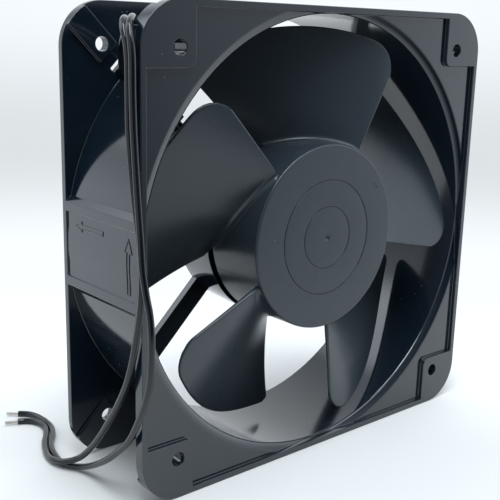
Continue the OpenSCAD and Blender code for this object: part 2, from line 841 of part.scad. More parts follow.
// Wire ends inside the base, from the terminal pins to the grommet
module inner_leads() {
    color([0.06, 0.06, 0.06])
        for (s = [-1, 1]) {
            a = wire_diagonal_angle - pin_spread_angle * s;
            start = [pin_circle_r * cos(a), -pin_rear_z, pin_circle_r * sin(a)];
            finish = on_strut(grommet_in - slide_gap, s * wire_pitch / 2, wire_y);
            skin(tube_rings([start, start + [0, 4, 0], start * 0.5 + finish * 0.5 + [0, 3, 0],
                on_strut(grommet_in - 5, s * wire_pitch / 2, wire_y), finish], wire_r, 8));
        }
}

module lead_wire(route) {
    color([0.05, 0.05, 0.05])
        skin(tube_rings(route, wire_r, 8));
}

// Bare end of a wire
module lead_tip(route) {
    dir = heading(route, len(route) - 1);
    color([0.75, 0.68, 0.58])
        skin(tube_rings([last(route), last(route) + tip_len * dir], tip_d / 2, 8));
}

// Blade surface: share u of the sweep from front edge to rear edge, share w of the span
function span_at(r) = max(0, (r - hub_r) / (blade_tip_r - hub_r));
function tip_drop(s, r) = s >= r ? 0 : r - sqrt(r * r - (r - s) * (r - s));
function tip_radius(u) =
    let (chord = blade_tip_r * blade_tip_angle * PI / 180)
    blade_tip_r - tip_drop(u * chord, blade_front_corner_r) - tip_drop((1 - u) * chord, blade_rear_corner_r);
function blade_rise(u, w) = u - u * (1 - u) * ((1 - w) * 0.44 + w * 1.6 * (0.43 - u));
function blade_at(u, w) =
    let (r = blade_root_r + w * (tip_radius(u) - blade_root_r),
        s = span_at(r),
        sweep = blade_root_angle + s * (blade_tip_angle - blade_root_angle),
        notch = blade_notch_angle * pow(max(0, 1 - max(0, r - hub_r) / blade_notch_h), 1.3),
        v = u * (1 - notch / sweep),
        a = blade_front_angle + v * sweep,
        back = blade_back_root + s * (blade_back_tip - blade_back_root))
    [r * cos(a), r * sin(a), blade_front - (blade_front + back) * blade_rise(v, s)];
function blade_normal(u, w) =
    let (e = 0.002, u0 = max(0, u - e), u1 = min(1, u + e), w0 = max(0, w - e), w1 = min(0.999, w + e))
    unit(cross(blade_at(u1, w) - blade_at(u0, w), blade_at(u, w1) - blade_at(u, w0)));

// Rings of a blade: front face from the front edge to the rear edge, then back on the rear face
blade_us = [0, 0.01, 0.03, 0.06, 0.1, 0.15, 0.25, 0.37, 0.5, 0.63, 0.75, 0.86, 0.94, 0.98, 1];
blade_ws = [0, 0.02, 0.036, 0.06, 0.09, 0.16, 0.3, 0.46, 0.62, 0.77, 0.9, 0.985, 1];
function edge_share(u) = u == 0 || u == 1 ? 0.35 : 1;
function blade_half(u, w) =
    (w == 1 ? 0.4 : 1) * edge_share(u) * (blade_root_t + w * (blade_tip_t - blade_root_t)) / 2;
function blade_ring(w) =
    let (last_u = len(blade_us) - 1)
    concat([for (u = blade_us) blade_at(u, w) + blade_half(u, w) * blade_normal(u, w)],
        [for (i = [last_u : -1 : 0])
            let (u = blade_us[i])
            blade_at(u, w) - blade_half(u, w) * blade_normal(u, w)]);

module hub() {
    edge = [for (a = [0 : 22.5 : 90])
        [hub_r - hub_edge_r + hub_edge_r * cos(a), hub_front_z - hub_edge_r + hub_edge_r * sin(a)]];
    difference() {
        rotate_extrude()
            polygon(concat([[hub_r - hub_wall, hub_rear_z], [hub_r, hub_rear_z]], edge,
                [[0, hub_front_z], [0, hub_inner_z], [hub_r - hub_wall, hub_inner_z]]));
        for (r = [groove_outer_r, groove_inner_r])
            ring(r - groove_w / 2, r + groove_w / 2, hub_front_z - groove_drop, hub_front_z + over);
        translate([0, 0, hub_front_z])
            sphere(r = dimple_r);
    }
}

module impeller() {
    color([0.09, 0.09, 0.095])
        stand()
            union() {
                hub();
                for (i = [0 : blade_count - 1])
                    rotate([0, 0, 360 * i / blade_count])
                        skin([for (w = blade_ws) blade_ring(w)]);
            }
}

module rotor_can() {
    color([0.5, 0.5, 0.52])
        stand()
            difference() {
                translate([0, 0, can_rear_z])
                    cylinder(h = hub_inner_z - can_rear_z, r = can_out_r);
                translate([0, 0, can_rear_z - over])
                    cylinder(h = can_inner_z - can_rear_z + over, r = can_in_r);
                translate([0, 0, can_inner_z - over])
                    cylinder(h = can_wall + 2 * over, r = shaft_boss_r - 1.5 + slide_gap);
            }
}

module rotor_core() {
    color([0.42, 0.42, 0.44])
        stand()
            difference() {
                ring(core_in_r, core_out_r, stack_rear, stack_front_z);
                for (i = [0 : bar_count - 1])
                    rotate([0, 0, 360 * i / bar_count])
                        translate([bar_circle_r, 0, stack_rear - over])
                            cylinder(h = stack_len + 2 * over, r = bar_r + press_gap);
            }
}

module squirrel_cage() {
    color([0.8, 0.8, 0.82])
        stand()
            union() {
                ring(bar_circle_r - end_ring_half, bar_circle_r + end_ring_half,
                    stack_rear - end_ring_t, stack_rear);
                ring(bar_circle_r - end_ring_half, bar_circle_r + end_ring_half,
                    stack_front_z, stack_front_z + end_ring_t);
                for (i = [0 : bar_count - 1])
                    rotate([0, 0, 360 * i / bar_count])
                        translate([bar_circle_r, 0, stack_rear - end_ring_t / 2])
                            cylinder(h = stack_len + end_ring_t, r = bar_r);
            }
}

module shaft() {
    color([0.78, 0.78, 0.8])
        stand()
            difference() {
                translate([0, 0, shaft_rear_z])
                    cylinder(h = hub_inner_z - shaft_rear_z, r = shaft_r);
                ring(clip_groove_r, shaft_r + over, clip_front_z - clip_t - slide_gap, clip_front_z);
            }
}

// Flanged boss riveted to the can
module shaft_boss() {
    color([0.72, 0.62, 0.35])
        stand() {
            difference() {
                union() {
                    translate([0, 0, boss_rear_z])
                        cylinder(h = can_inner_z - boss_rear_z, r = shaft_boss_r);
                    translate([0, 0, boss_rear_z])
                        cylinder(h = hub_inner_z - boss_rear_z, r = shaft_boss_r - 1.5);
                }
                translate([0, 0, boss_rear_z - over])
                    cylinder(h = frame_depth, r = shaft_r + press_gap);
            }
        }
}

module spacer_washers() {
    color([0.68, 0.68, 0.7])
        stand() {
            ring(shaft_r + press_gap, washer_r, front_washer_z, boss_rear_z);
            ring(shaft_r + press_gap, washer_r, clip_front_z, rear_washer_z);
        }
}

// Split ring in the shaft's groove
module retaining_ring() {
    color([0.35, 0.35, 0.37])
        stand()
            sector(clip_groove_r + press_gap, clip_out_r, clip_front_z - clip_t, clip_front_z,
                clip_open / 2, 360 - clip_open);
}

frame();
wire_clip();
wire_grommet();
bearing_cap();
bearing_tube();
wave_spring();
outer_ring(front_bearing_at);  // front_outer_ring
shields(front_bearing_at);  // front_shields
outer_ring(rear_bearing_at);  // rear_outer_ring
shields(rear_bearing_at);  // rear_shields
stator_core();
coil_bobbins();
stator_coils();
shading_rings();
terminal_board();
terminal_pins();
inner_leads();
lead_wire(left_route);  // lead_wire_left
lead_wire(right_route);  // lead_wire_right
lead_tip(left_route);  // lead_tip_left
lead_tip(right_route);  // lead_tip_right
impeller();
rotor_can();
rotor_core();
squirrel_cage();
shaft();
shaft_boss();
spacer_washers();
retaining_ring();
inner_ring(front_bearing_at);  // front_inner_ring
inner_ring(rear_bearing_at);  // rear_inner_ring
balls(front_bearing_at);  // front_balls
ball_cage(front_bearing_at);  // front_ball_cage
balls(rear_bearing_at);  // rear_balls
ball_cage(rear_bearing_at);  // rear_ball_cage
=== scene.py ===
# %% [markdown]
# # A square axial cooling fan, dressed for its portrait
#
# The construction comes from CAD and is loaded as a fixed frame. This lesson adds the looks:
# a camera, two lead wires, a finely shaped impeller, softened casting edges, procedural
# materials and a light tent. The frame's axes are kept: +Z is up, air enters at -Y, and the
# origin is the fan's centre at mid-depth. Blender counts in metres, but a fan is easier to read
# in millimetres, so its shapes are given in millimetres and `MM` turns them into metres.

import json
import math

import bmesh
import bpy
from mathutils import Matrix, Vector


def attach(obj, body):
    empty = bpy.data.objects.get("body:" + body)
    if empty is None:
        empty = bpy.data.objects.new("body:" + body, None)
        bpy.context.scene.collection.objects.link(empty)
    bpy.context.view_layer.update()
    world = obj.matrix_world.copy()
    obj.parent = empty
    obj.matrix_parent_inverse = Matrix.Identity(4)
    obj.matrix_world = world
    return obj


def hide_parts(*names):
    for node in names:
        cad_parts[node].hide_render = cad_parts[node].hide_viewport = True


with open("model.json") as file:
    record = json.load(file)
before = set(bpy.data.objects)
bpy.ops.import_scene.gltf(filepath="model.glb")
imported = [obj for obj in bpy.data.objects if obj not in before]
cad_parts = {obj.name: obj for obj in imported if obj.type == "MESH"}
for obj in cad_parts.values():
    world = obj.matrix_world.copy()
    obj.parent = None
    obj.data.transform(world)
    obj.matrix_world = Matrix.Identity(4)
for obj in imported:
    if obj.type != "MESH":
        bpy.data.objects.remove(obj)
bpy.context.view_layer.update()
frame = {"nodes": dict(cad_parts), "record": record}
nodes = frame["nodes"]
scene = bpy.context.scene
MM = 0.001

# %% [markdown]
# ## The camera
#
# A perspective camera is a point, three directions and a lens. It could be turned by hand until
# the view looks right, or aimed with a constraint. Here it is worked out from three angles and
# three distances, because then each of them can be read and changed by itself. The camera stands
# to the left of the fan and a little above its middle, turned 41 degrees to the right and tilted
# 14 degrees down. Columns of its matrix are its right, up and backward directions.

# %% Camera
YAW, PITCH, ROLL = 0.70894, 0.24020, 0.02464
EYE_BACK, EYE_LEFT, EYE_BELOW = 0.412239, 0.016161, 0.011234
SENSOR_WIDTH, FOCAL_LENGTH = 36, 62.695

forward = Vector(
    (math.sin(YAW) * math.cos(PITCH), math.cos(YAW) * math.cos(PITCH), -math.sin(PITCH))
)
level = Vector((math.cos(YAW), -math.sin(YAW), 0))
upright = level.cross(forward)
right = level * math.cos(ROLL) + upright * math.sin(ROLL)
up = upright * math.cos(ROLL) - level * math.sin(ROLL)
eye = forward * -EYE_BACK - right * EYE_LEFT - up * EYE_BELOW

lens = bpy.data.cameras.new("portrait_lens")
lens.sensor_width = SENSOR_WIDTH
lens.lens = FOCAL_LENGTH
lens.clip_start = 10 * MM
camera = bpy.data.objects.new("portrait_camera", lens)
scene.collection.objects.link(camera)
camera.matrix_world = Matrix((right, up, -forward)).transposed().to_4x4()
camera.location = eye
scene.camera = camera
print("camera at", [round(v, 4) for v in eye])

# %% [markdown]
# ## Where the lead wires run
#
# Two insulated wires leave the motor base, lie in the channel of one strut, come up through the
# rear corner, go over the edge of the frame, hang down its left side and end on the floor. A
# simulation could drop them there, but it would never lay them in just these bends. So each
# route is a list of given points, and small helpers give each stretch in the terms in
# which it is easiest to think of: along the strut, beside the frame or on the floor.

# %% Wire routes
WIRE_D, WIRE_PITCH = 2.8, 3.2
SIDE_X, GROUND_Z = -100, -98.6
CHANNEL_Y, RIM_DIP = 26.05, 0.6


def on_strut(along, off, y):
    """A point on the diagonal strut: distance from the axis, offset across, depth."""
    return ((off - along) / math.sqrt(2), y, (off + along) / math.sqrt(2))


def strut_part(off):
    """The stretch that lies in the strut's channel and dips under the duct's rim."""
    flat = [on_strut(along, off, CHANNEL_Y) for along in (43.4, 62, 80, 94)]
    return flat + [on_strut(99.4, off, CHANNEL_Y - RIM_DIP)]


def beside(points):
    """Points given as a distance out from the frame's left side, depth and height."""
    return [(SIDE_X - d, y, z) for d, y, z in points]


def on_floor(points):
    """Points on the floor, given as a distance out from the frame's left side and depth."""
    return [(SIDE_X - d, y, GROUND_Z) for d, y in points]


left_route = (
    strut_part(-WIRE_PITCH / 2)
    + [(-74.4, 23.2, 72.8), (-77, 19, 77.4), (-80.8, 12.2, 83), (-85, 3.8, 87.4)]
    + [(-89.6, -4.4, 90.6), (-94.6, -11.8, 92.2), (-99.2, -17.8, 91.5)]
    + beside([(1.7, -21.8, 88.4), (2.3, -24.6, 83.5), (2.3, -25.6, 77.6), (2.2, -25.5, 66)])
    + beside([(2.2, -25.6, 54), (2.2, -26.9, 41), (2.2, -29.1, 27), (2.2, -31.8, 14.5)])
    + beside([(2.2, -33.4, 3), (2.2, -33.2, -9.5), (2.2, -30.4, -23), (2.2, -26.9, -35.5)])
    + beside([(2.2, -22.6, -46.5), (2.2, -16.4, -57), (2.2, -9.4, -66.8), (2.2, -1.2, -77.2)])
    + beside([(2.4, 6.6, -86), (3.6, 12.2, -91.6), (5.7, 16.6, -94.6), (8.2, 20.8, -96.2)])
    + beside([(9.5, 26.2, -97.3), (9.2, 31.8, -98.2)])
    + on_floor([(7.5, 38), (3.9, 46.3), (-0.9, 54), (-3.9, 60.6), (-4.2, 66.6)])
    + on_floor([(-2.2, 71.2), (0.6, 73.8), (3.4, 75)])
)
right_route = (
    strut_part(WIRE_PITCH / 2)
    + [(-72, 23.4, 75), (-74.4, 18.9, 79.4), (-78, 11.4, 84.6), (-82.2, 2.6, 88.8)]
    + [(-87, -5.8, 91.6), (-92.2, -13.4, 92.8), (-97.1, -19.8, 92.3)]
    + beside([(1.3, -25, 89.7), (2.7, -28.2, 84), (2.9, -29.2, 78), (2.9, -29.3, 66)])
    + beside([(3, -29.9, 54), (3.2, -31.3, 41), (3.6, -33.4, 27), (4.1, -35.7, 14)])
    + beside([(4.2, -37, 3), (3.4, -38.2, -7), (2.9, -40, -15), (2.9, -40.9, -25)])
    + beside([(2.9, -40, -39.3), (2.9, -36.6, -49.8), (2.9, -31.6, -59.6), (2.9, -24.4, -70.5)])
    + beside([(2.9, -16, -78.5), (2.9, -7.6, -85.4), (2.6, 1.4, -91.2), (2.7, 9.6, -95.6)])
    + beside([(3.7, 14.8, -97.6), (5.2, 19, -98.4)])
    + on_floor([(6.4, 23), (6.6, 28), (4.8, 36.4), (1.5, 44.5), (-3.4, 52.1)])
    + on_floor([(-6.5, 59.4), (-7.4, 66.9), (-6.8, 74.7), (-4.7, 79.8), (-1, 83.2)])
)
print("route points:", len(left_route), "left,", len(right_route), "right")

# %% [markdown]
# ## The wires as curves
#
# A wire could be a chain of cylinders or a circle swept into a mesh. A curve with a round section
# is shorter to write and stays round in every bend. The spline below passes through each point
# of a route and keeps its bends soft. Blender adds each point's radius, in metres, to a curve's
# box, whatever the depth of the section is. So the depth is 1 and the radius is the real one.


# %% Curve helpers
def smooth_run(points, steps=6):
    """A smooth run of points, in metres, through the given ones."""
    p = [Vector(q) * MM for q in points]
    p = [p[0] * 2 - p[1]] + p + [p[-1] * 2 - p[-2]]
    run = []
    for a, b, c, d in zip(p, p[1:], p[2:], p[3:]):
        square = 2 * a - 5 * b + 4 * c - d
        cube = 3 * b - a - 3 * c + d
        for k in range(steps):
            t = k / steps
            run.append(0.5 * (2 * b + (c - a) * t + square * t**2 + cube * t**3))
    return run + [p[-2]]


def run_length(run):
    """The length of a run of points."""
    return sum((b - a).length for a, b in zip(run, run[1:]))


def tube(name, runs, radius, sides=6):
    """One curve object made of open runs with a round section."""
    data = bpy.data.curves.new(name, "CURVE")
    data.dimensions = "3D"
    data.bevel_depth = 1
    data.bevel_resolution = sides
    data.use_fill_caps = True
    for run in runs:
        spline = data.splines.new("POLY")
        spline.points.add(len(run) - 1)
        for point, at in zip(spline.points, run):
            point.co = (*at, 1)
            point.radius = radius
    obj = bpy.data.objects.new(name, data)
    scene.collection.objects.link(obj)
    return obj


print("left route after smoothing:", len(smooth_run(left_route)), "points")

# %% [markdown]
# ## The bare ends
#
# At the end of each wire the insulation is cut back, and a few millimetres of twisted strands
# stick out. One rough cylinder with a bump in its finish would do from afar. Thin tubes, six
# laid round a seventh, catch the light strand by strand and cost very little. They splay
# towards the tip and aren't all cut to the same length.

# %% Strands
STRANDS, STRAND_R, LAY_R = 7, 0.22, 0.46
BARE_LENGTH, STRAND_STEPS = 6, 12
TWIST, SPLAY, UNEVEN = 1.2, 0.25, 0.05


def strands(run):
    """Twisted strands that go on from the end of a run: one in the middle, the rest round it."""
    ahead = (run[-1] - run[-2]).normalized()
    side = ahead.cross(Vector((0, 0, 1))).normalized()
    over = side.cross(ahead)
    lines = []
    for i in range(STRANDS):
        away = LAY_R * MM if i else 0
        reach = BARE_LENGTH * MM * (1 - UNEVEN * (i % 3))
        line = []
        for k in range(STRAND_STEPS + 1):
            t = k / STRAND_STEPS
            angle = math.tau * (i / (STRANDS - 1) + TWIST * t)
            outward = side * math.cos(angle) + over * math.sin(angle)
            line.append(run[-1] + ahead * reach * t + outward * away * (1 + SPLAY * t))
        lines.append(line)
    return lines


print("bare end:", STRANDS, "strands of", 2 * STRAND_R, "mm")

# %% Wires and bare ends
wires, tips = [], []
for side, route in (("left", left_route), ("right", right_route)):
    run = smooth_run(route)
    wire = tube(f"wire_{side}", [run], WIRE_D / 2 * MM)
    tip = tube(f"bare_end_{side}", strands(run), STRAND_R * MM, 3)
    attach(wire, "housing")
    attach(tip, "housing")
    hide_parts(f"lead_wire_{side}")
    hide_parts(f"lead_tip_{side}")
    run_length(run)
    wires.append(wire)
    tips.append(tip)
    print(f"wire_{side}: {run_length(run) / MM:.0f} mm")

# %% [markdown]
# ## Meshes with clean highlights
#
# Mouldings and castings have flats and rounds side by side. Flat shading shows every facet of the
# rounds, and smooth shading alone bends the highlights on the flats. So edges steeper than an
# angle are marked sharp, and weighted normals let the large faces lead, which keeps a flat face
# flat beside a rounded edge.


# %% Mesh helpers
def shade(obj, angle):
    """Smooth shading that stays sharp across edges steeper than the angle in degrees."""
    bm = bmesh.new()
    bm.from_mesh(obj.data)
    bmesh.ops.recalc_face_normals(bm, faces=bm.faces)
    limit = math.radians(angle)
    for face in bm.faces:
        face.smooth = True
    for edge in bm.edges:
        edge.smooth = len(edge.link_faces) == 2 and edge.calc_face_angle(0) < limit
    bm.to_mesh(obj.data)
    bm.free()
    weigh = obj.modifiers.new("weighted_normals", "WEIGHTED_NORMAL")
    weigh.weight = 100
    weigh.keep_sharp = True


def mesh_object(name, verts, faces, smooth=35):
    """A mesh object in metres, shaded as one surface where faces meet under the given angle."""
    mesh = bpy.data.meshes.new(name)
    mesh.from_pydata(verts, [], faces)
    mesh.validate()
    obj = bpy.data.objects.new(name, mesh)
    scene.collection.objects.link(obj)
    shade(obj, smooth)
    print(f"{name}: {len(mesh.vertices)} points, {len(mesh.polygons)} faces")
    return obj


print("mesh helpers ready")

# %% [markdown]
# ## The hub
#
# The impeller is one moulding. Its hub is a cup with a rounded rim, two fine ring grooves in its
# face and a dimple at the centre. It could be cut from cylinders with booleans. It is turned
# instead, as on a lathe: one profile of radius and height goes round the axis, so a groove or a
# round is only a few more points of the profile.


# %% Lathe
def lathe(profile, steps):
    """Turns (radius, height) pairs about the fan's axis; a radius of zero closes the shape."""
    verts, faces, rows = [], [], []
    for r, h in profile:
        if r == 0:
            rows.append([len(verts)])
            verts.append((0, -h * MM, 0))
            continue
        rows.append(list(range(len(verts), len(verts) + steps)))
        for k in range(steps):
            a = math.tau * k / steps
            verts.append((r * math.cos(a) * MM, -h * MM, r * math.sin(a) * MM))
    for low, high in zip(rows, rows[1:]):
        for k in range(steps):
            n = (k + 1) % steps
            if len(low) == 1:
                faces.append((low[0], high[n], high[k]))
            elif len(high) == 1:
                faces.append((low[k], low[n], high[0]))
            else:
                faces.append((low[k], low[n], high[n], high[k]))
    return verts, faces


def arc(cx, cy, r, start, end, steps):
    """Points of an arc in the profile plane, angles in degrees."""
    turn = [math.radians(start + (end - start) * k / steps) for k in range(steps + 1)]
    return [(cx + r * math.cos(a), cy + r * math.sin(a)) for a in turn]


print("lathe ready")

# %% Hub profile
HUB_R, HUB_FRONT, HUB_BACK = 42, 28.8, -1.5
HUB_WALL, HUB_INNER = 2.2, 26.3
FRONT_ROUND, BACK_ROUND, BACK_CHAMFER = 1, 0.4, 0.3
OUTER_GROOVE = (26.1, 0.5, 0.4)
INNER_GROOVE = (14.1, 0.45, 0.35)
DIMPLE = [(1.7, 0), (1.35, 0.2), (0.8, 0.75), (0, 1)]
BORE_R = HUB_R - HUB_WALL


def groove(r, width, depth):
    """A shallow round-bottomed ring groove, listed from its outer lip inwards."""
    side = [(0.8, 0), (0.5, 0.25), (0.3, 1)]
    section = side + [(-across, sunk) for across, sunk in reversed(side)]
    return [(r + width * across, HUB_FRONT - depth * sunk) for across, sunk in section]


hub_profile = (
    [(0, HUB_INNER), (BORE_R, HUB_INNER), (BORE_R, HUB_BACK + BACK_CHAMFER)]
    + [(BORE_R + BACK_CHAMFER, HUB_BACK)]
    + arc(HUB_R - BACK_ROUND, HUB_BACK + BACK_ROUND, BACK_ROUND, -90, 0, 4)
    + [(HUB_R, 12)]
    + arc(HUB_R - FRONT_ROUND, HUB_FRONT - FRONT_ROUND, FRONT_ROUND, 0, 90, 8)
    + [(34, HUB_FRONT)]
    + groove(*OUTER_GROOVE)
    + [(20, HUB_FRONT)]
    + groove(*INNER_GROOVE)
    + [(6, HUB_FRONT)]
    + [(r, HUB_FRONT - sunk) for r, sunk in DIMPLE]
)
print("hub profile points:", len(hub_profile))

# %% [markdown]
# ## The blades
#
# Five twisted blades grow out of the hub. One could be sculpted, or cut from a thick helical
# sheet. A formula is chosen, because each trait is then a number: a blade is a surface over two
# shares, `u` from front edge to rear edge and `w` from hub to tip. It sags along the root and
# runs in an S along the tip, its tip corners are rounded, and a notch frees its rear root corner.

# %% Blade surface
BLADES, TIP_R, ROOT_R = 5, 92, 41
SPAN = TIP_R - ROOT_R
FRONT_ANGLE, SWEEP_ROOT, SWEEP_TIP = -11.3, 57.7, 65.8
TIP_CHORD = TIP_R * math.radians(SWEEP_TIP)
FRONT_H, BACK_ROOT, BACK_TIP = 25.5, 5, 9.6
CORNER_FRONT, CORNER_REAR = 15, 5
NOTCH_ANGLE, NOTCH_H, NOTCH_CURVE = 6.4, 3.5, 1.3
ROOT_SAG, TIP_WAVE, WAVE_AT = 0.44, 1.6, 0.43


def corner_drop(s, r):
    """How far a round corner of radius r lies inside the full outline, s from the edge."""
    return 0 if s >= r else r - math.sqrt(max(0, r * r - (r - s) ** 2))


def blade_at(u, w):
    """A point of the blade's middle surface, in millimetres: x, z and height to the front."""
    tip = TIP_R - corner_drop(u * TIP_CHORD, CORNER_FRONT)
    tip -= corner_drop((1 - u) * TIP_CHORD, CORNER_REAR)
    r = ROOT_R + w * (tip - ROOT_R)
    s = max(0, (r - HUB_R) / (TIP_R - HUB_R))
    sweep = SWEEP_ROOT + s * (SWEEP_TIP - SWEEP_ROOT)
    notch = NOTCH_ANGLE * max(0, 1 - max(0, r - HUB_R) / NOTCH_H) ** NOTCH_CURVE
    v = u * (1 - notch / sweep)
    angle = math.radians(FRONT_ANGLE + v * sweep)
    rise = v - v * (1 - v) * ((1 - s) * ROOT_SAG + s * TIP_WAVE * (WAVE_AT - v))
    back = BACK_ROOT + s * (BACK_TIP - BACK_ROOT)
    return Vector((r * math.cos(angle), r * math.sin(angle), FRONT_H - (FRONT_H + back) * rise))


def blade_normal(u, w, e=0.002):
    """The surface's normal, from four points close by."""
    u0, u1, w0, w1 = max(0, u - e), min(1, u + e), max(0, w - e), min(0.999, w + e)
    along, out = blade_at(u1, w) - blade_at(u0, w), blade_at(u, w1) - blade_at(u, w0)
    return along.cross(out).normalized()


print("blade tip chord:", round(TIP_CHORD, 1), "mm")

# %% [markdown]
# ### The thickness of a blade
#
# A Solidify modifier could thicken the surface, but it leaves square edges and a hard line at the
# hub. Here half of the thickness is added on both sides. It runs out in a half round at every
# edge and swells into a fillet at the root, so the rows of points crowd there.

# %% Blade thickness
ROOT_T, TIP_T = 2.2, 1.6
FILLET, FILLET_ENDS = 2.4, 18
EDGE_CHORD, EDGE_ROUND = 100, 1.0
EDGE_ROWS = [0, 0.06, 0.2, 0.45, 0.8, 1.3]
ROOT_ROWS = [0, 0.012, 0.02, 0.027, 0.036, 0.046, 0.058, 0.072, 0.09, 0.112]
TIP_ROWS = [0.96, 0.975, 0.985, 0.991, 0.9955, 0.9985, 1]


def edge_share(s, half):
    """Share of the full thickness at a distance s from a rounded edge."""
    return 1 if s >= half else math.sqrt(max(0, 1 - (1 - s / half) ** 2))


def blade_half(u, w):
    """Half of the blade's thickness, with round edges and a fillet at the hub."""
    half = (ROOT_T + w * (TIP_T - ROOT_T)) / 2
    edges = (u * EDGE_CHORD, (1 - u) * EDGE_CHORD, (1 - w) * SPAN)
    rim = min(edge_share(s, half) for s in edges)
    over = max(0, w * SPAN - (HUB_R - ROOT_R))
    fillet = corner_drop(over, FILLET)
    return half * rim + fillet * min(1, u * FILLET_ENDS, (1 - u) * FILLET_ENDS)


def crowded(count, length, radius):
    """Shares from 0 to 1, crowded at both ends where an edge is rounded."""
    ends = [radius * k / length for k in EDGE_ROWS]
    first, last = ends[-1], 1 - ends[-1]
    middle = [first + (last - first) * k / count for k in range(1, count)]
    return ends + middle + [1 - e for e in reversed(ends)]


us = crowded(44, EDGE_CHORD, EDGE_ROUND)
ws = ROOT_ROWS + [k / 36 for k in range(5, 34)] + TIP_ROWS
print("blade grid:", len(us), "by", len(ws))


# %% Impeller
def blade_mesh(turn):
    """Points and faces of one closed blade, turned about the axis."""
    c, s = math.cos(turn), math.sin(turn)
    verts, faces = [], []
    n = len(us)
    loop = 2 * n
    for w in ws:
        front, rear = [], []
        for u in us:
            p, t = blade_at(u, w), blade_normal(u, w) * blade_half(u, w)
            front.append(p + t)
            rear.append(p - t)
        for p in front + rear[::-1]:
            verts.append(((p.x * c - p.y * s) * MM, -p.z * MM, (p.x * s + p.y * c) * MM))
    for j in range(len(ws) - 1):
        for k in range(loop):
            a, b = j * loop + k, j * loop + (k + 1) % loop
            faces.append((a, a + loop, b + loop, b))
    for base in (0, (len(ws) - 1) * loop):
        for k in range(n - 1):
            faces.append((base + k, base + k + 1, base + loop - 2 - k, base + loop - 1 - k))
    return verts, faces


def join(parts):
    """Puts several point-and-face lists into one."""
    verts, faces = [], []
    for v, f in parts:
        base = len(verts)
        verts += v
        faces += [tuple(i + base for i in face) for face in f]
    return verts, faces


blades = [blade_mesh(math.tau * k / BLADES) for k in range(BLADES)]
impeller = mesh_object("impeller_moulding", *join([lathe(hub_profile, 192)] + blades), smooth=40)
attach(impeller, "rotor")
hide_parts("impeller")

# %% [markdown]
# ## The inlet lip
#
# Where the duct opens into the front flange, the casting turns over in a tight round and then
# rises in a long slope to the flange's field. The CAD has a plain elliptic round there. A new lip
# could be turned and let in, but a seam would show. So the lip's own points are moved, only in
# depth and within the lip's width, to a root curve: steep at the duct, long towards the field.

# %% Lip
FIELD_Y = -28 * MM
DUCT_R, LIP_R, LIP_DEPTH = 97 * MM, 101.3 * MM, 2.5 * MM
LIP_CURVE, LIP_ENDS = 0.45, 0.002


def slope_lip(bm):
    """Reshapes the inlet lip and returns how many points were moved."""
    moved = 0
    for vert in bm.verts:
        share = (math.hypot(vert.co.x, vert.co.z) - DUCT_R) / (LIP_R - DUCT_R)
        depth = (vert.co.y - FIELD_Y) / LIP_DEPTH
        if all(LIP_ENDS < value < 1 - LIP_ENDS for value in (share, depth)):
            vert.co.y = FIELD_Y + LIP_DEPTH * (1 - share**LIP_CURVE)
            moved += 1
    return moved


print(f"lip: {(LIP_R - DUCT_R) / MM:.1f} mm wide, {LIP_DEPTH / MM:.1f} mm deep")

# %% [markdown]
# ## The casting
#
# The frame is one painted casting. A cast and painted edge is never knife-sharp, and its thin
# highlight is what makes it read as solid. A Bevel modifier on the CAD mesh would trip over its
# long thin triangles. So a copy is welded first, flat triangles are merged into larger faces, and
# then every crisp edge gets a small rounded chamfer. The low step at the mould's parting line is
# left as it is: it is smaller than the chamfer.

# %% Softened copy of the frame
EDGE = 0.32 * MM
PARTING_Y, PARTING_CLEAR = 18.8 * MM, 0.1 * MM
WELD = 0.002 * MM
FLAT_ANGLE, CRISP_ANGLE, CASTING_SMOOTH = 0.2, 28, 50


def soft_edge(edge):
    """Whether a welded CAD edge is crisp enough, and clear of the parting step, to round off."""
    if len(edge.link_faces) != 2 or edge.calc_face_angle(0) < math.radians(CRISP_ANGLE):
        return False
    middle = (edge.verts[0].co + edge.verts[1].co) / 2
    return abs(middle.y - PARTING_Y) > PARTING_CLEAR


def softened(name, node, width):
    """A copy of the frame's CAD node with its lip reshaped and its edges rounded."""
    bm = bmesh.new()
    bm.from_mesh(nodes[node].data)
    bmesh.ops.remove_doubles(bm, verts=bm.verts, dist=WELD)
    print("lip points moved:", slope_lip(bm))
    flat = math.radians(FLAT_ANGLE)
    bmesh.ops.dissolve_limit(bm, angle_limit=flat, verts=bm.verts, edges=bm.edges)
    crisp = [e for e in bm.edges if soft_edge(e)]
    bmesh.ops.bevel(
        bm,
        geom=crisp,
        offset=width,
        offset_type="OFFSET",
        segments=2,
        profile=0.5,
        affect="EDGES",
    )
    mesh = bpy.data.meshes.new(name)
    bm.to_mesh(mesh)
    bm.free()
    obj = bpy.data.objects.new(name, mesh)
    scene.collection.objects.link(obj)
    shade(obj, CASTING_SMOOTH)
    print(f"{name}: {len(crisp)} crisp edges rounded, {len(mesh.polygons)} faces")
    return obj


casting = softened("frame_casting", "frame", EDGE)
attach(casting, "housing")
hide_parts("frame")

# %% [markdown]
# ## Arrows on the side panel
#
# Two outlined arrows stand a little proud of the sunk panel on the left side: one shows the way
# the air goes, the other the way the blades turn. A bump in the paint could draw them, but it
# would have no outline when seen along the panel. So each is a closed run of thin raised lines.

# %% Panel arrows
PANEL_X, DUCT_OUT = -99.3, 99.6
LINE_D, LINE_STEPS = 0.6, 8


def on_panel(y, z):
    """A point on the panel, which the round of the duct just breaks through at mid-height."""
    return Vector((min(PANEL_X, -math.sqrt(DUCT_OUT**2 - z**2)), y, z)) * MM


